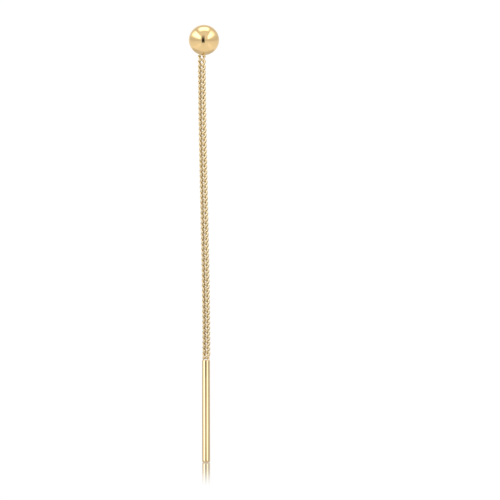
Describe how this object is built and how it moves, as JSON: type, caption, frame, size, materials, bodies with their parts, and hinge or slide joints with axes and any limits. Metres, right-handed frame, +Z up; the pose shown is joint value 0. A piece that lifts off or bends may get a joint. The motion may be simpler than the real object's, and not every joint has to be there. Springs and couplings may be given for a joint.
{
  "type": "chain earring with a ball and a bar",
  "caption": "Slim drop earring: a polished ball, a fine plaited chain hanging from the ball's back and a round bar at the chain's end.",
  "frame": {"origin": "where the ball's back meets the front of the ear lobe, on the ball's axis", "axes": "+Z up, towards the ball from the hanging bar; +Y from the ball to the back, through the ear lobe; +X to the right seen from the front"},
  "size_m": [0.004, 0.005, 0.0582],
  "materials": {
    "polished_gold": "high polish yellow gold",
    "chain_gold": "bright yellow gold wire"
  },
  "bodies": {
    "root": {"ball": "polished_gold", "chain": "chain_gold", "bar": "polished_gold"}
  },
  "joints": []
}
